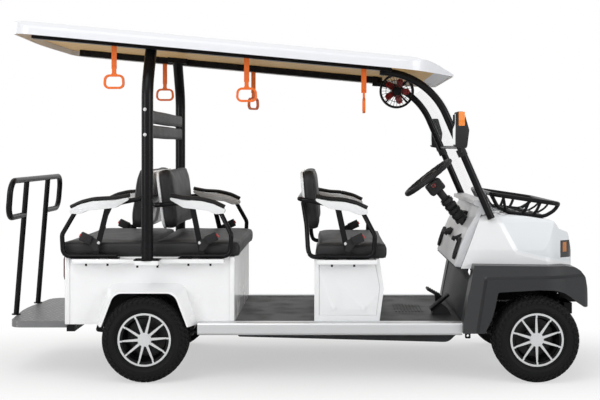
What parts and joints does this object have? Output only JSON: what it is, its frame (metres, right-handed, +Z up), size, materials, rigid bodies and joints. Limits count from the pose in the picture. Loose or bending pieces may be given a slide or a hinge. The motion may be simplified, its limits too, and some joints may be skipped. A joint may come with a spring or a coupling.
{
  "type": "six-seat golf cart",
  "caption": "Open electric passenger cart with a long roof, forward and rear-facing benches, a rear step, a basket over the nose and steered front wheels.",
  "frame": {"origin": "on the ground under the middle of the cart's overall length and width", "axes": "+X forward, +Y to the cart's left, +Z up"},
  "size_m": [3.204, 1.436, 1.9434],
  "materials": {
    "frame_black": "satin black paint",
    "sill_silver": "satin anodised",
    "floor_grey": "textured floor sheet",
    "body_white": "gloss white",
    "moulding_black": "grained plastic",
    "roof_white": "gloss white",
    "ceiling_tan": "tan board",
    "seat_black": "stitched upholstery",
    "shell_white": "gloss white",
    "pad_black": "soft",
    "clear_sheet": "clear",
    "lamp_lens": "smoked lens",
    "lamp_red": "red lens",
    "dash_silver": "light silver",
    "strap_orange": "orange",
    "step_black": "textured plate",
    "tyre_rubber": "matte",
    "rim_silver": "machined",
    "steel_dark": "dark",
    "battery_case": "plain",
    "fan_red": "red",
    "wheel_grip": "soft grip"
  },
  "bodies": {
    "chassis": {"chassis_frame": "frame_black", "sill_rails": "sill_silver", "floor_panel": "floor_grey", "underbody_pan": "moulding_black", "battery_pack": "battery_case", "rear_box": "body_white", "wheel_liners": "moulding_black", "side_posts": "body_white", "front_seat_box": "body_white", "seat_cushions": "seat_black", "backrest_pads": "seat_black", "backrest_shells": "shell_white", "armrest_frames": "frame_black", "armrest_covers": "shell_white", "armrest_pads": "pad_black", "seat_buckles": "pad_black", "rear_pillars": "frame_black", "headrest_panel": "seat_black", "roof_shell": "roof_white", "ceiling_liner": "ceiling_tan", "roof_frame": "frame_black", "front_pillars": "frame_black", "windshield": "clear_sheet", "cowl": "body_white", "corner_lamps": "lamp_lens", "front_fenders": "moulding_black", "dash_panel": "dash_silver", "dash_fittings": "pad_black", "kick_panel": "moulding_black", "cowl_basket": "frame_black", "mirrors": "pad_black", "steering_column": "moulding_black", "pedals": "step_black", "fan_guard": "frame_black", "hand_straps": "strap_orange", "rear_platform": "step_black", "grab_rail": "frame_black", "tail_lamps": "lamp_red", "tie_down_lugs": "frame_black", "rear_axle": "steel_dark", "front_axle": "steel_dark", "leaf_springs": "steel_dark"},
    "steer_left": {"knuckle_left": "steel_dark"},
    "steer_right": {"knuckle_right": "steel_dark"},
    "tie_rod": {"tie_rod": "steel_dark"},
    "steering_wheel": {"steering_wheel": "wheel_grip"},
    "fan_rotor": {"fan_blades": "fan_red"},
    "wheel_front_left": {"tyre_front_left": "tyre_rubber", "rim_front_left": "rim_silver"},
    "wheel_front_right": {"tyre_front_right": "tyre_rubber", "rim_front_right": "rim_silver"},
    "wheel_rear_left": {"tyre_rear_left": "tyre_rubber", "rim_rear_left": "rim_silver"},
    "wheel_rear_right": {"tyre_rear_right": "tyre_rubber", "rim_rear_right": "rim_silver"}
  },
  "joints": [
    {"name": "steer_left", "type": "hinge", "parent": "chassis", "child": "steer_left", "pos_m": [1.299, 0.392, 0.2295], "axis": [0, 0, 1], "range_deg": [-28, 28]},
    {"name": "steer_right", "type": "hinge", "parent": "chassis", "child": "steer_right", "pos_m": [1.299, -0.392, 0.2295], "axis": [0, 0, 1], "range_deg": [-28, 28]},
    {"name": "tie_rod_pivot", "type": "hinge", "parent": "steer_left", "child": "tie_rod", "pos_m": [1.189, 0.392, 0.1668], "axis": [0, 0, 1], "range_deg": [-28, 28]},
    {"name": "steering_wheel_turn", "type": "hinge", "parent": "chassis", "child": "steering_wheel", "pos_m": [0.754, -0.215, 1.085], "axis": [-0.6198, 0, 0.7848], "range_deg": [-336, 336]},
    {"name": "wheel_spin_front_left", "type": "hinge", "parent": "steer_left", "child": "wheel_front_left", "pos_m": [1.299, 0.5, 0.2295], "axis": [0, 1, 0], "continuous": true},
    {"name": "wheel_spin_front_right", "type": "hinge", "parent": "steer_right", "child": "wheel_front_right", "pos_m": [1.299, -0.5, 0.2295], "axis": [0, 1, 0], "continuous": true},
    {"name": "wheel_spin_rear_left", "type": "hinge", "parent": "chassis", "child": "wheel_rear_left", "pos_m": [-0.791, 0.5, 0.2295], "axis": [0, 1, 0], "continuous": true},
    {"name": "wheel_spin_rear_right", "type": "hinge", "parent": "chassis", "child": "wheel_rear_right", "pos_m": [-0.791, -0.5, 0.2295], "axis": [0, 1, 0], "continuous": true},
    {"name": "fan_spin", "type": "hinge", "parent": "chassis", "child": "fan_rotor", "pos_m": [0.588, 0, 1.584], "axis": [0, 1, 0], "continuous": true}
  ],
  "couplings": [
    {"joint": "steer_right", "follows": "steer_left", "ratio": 1},
    {"joint": "tie_rod_pivot", "follows": "steer_left", "ratio": -1},
    {"joint": "steering_wheel_turn", "follows": "steer_left", "ratio": 12}
  ]
}
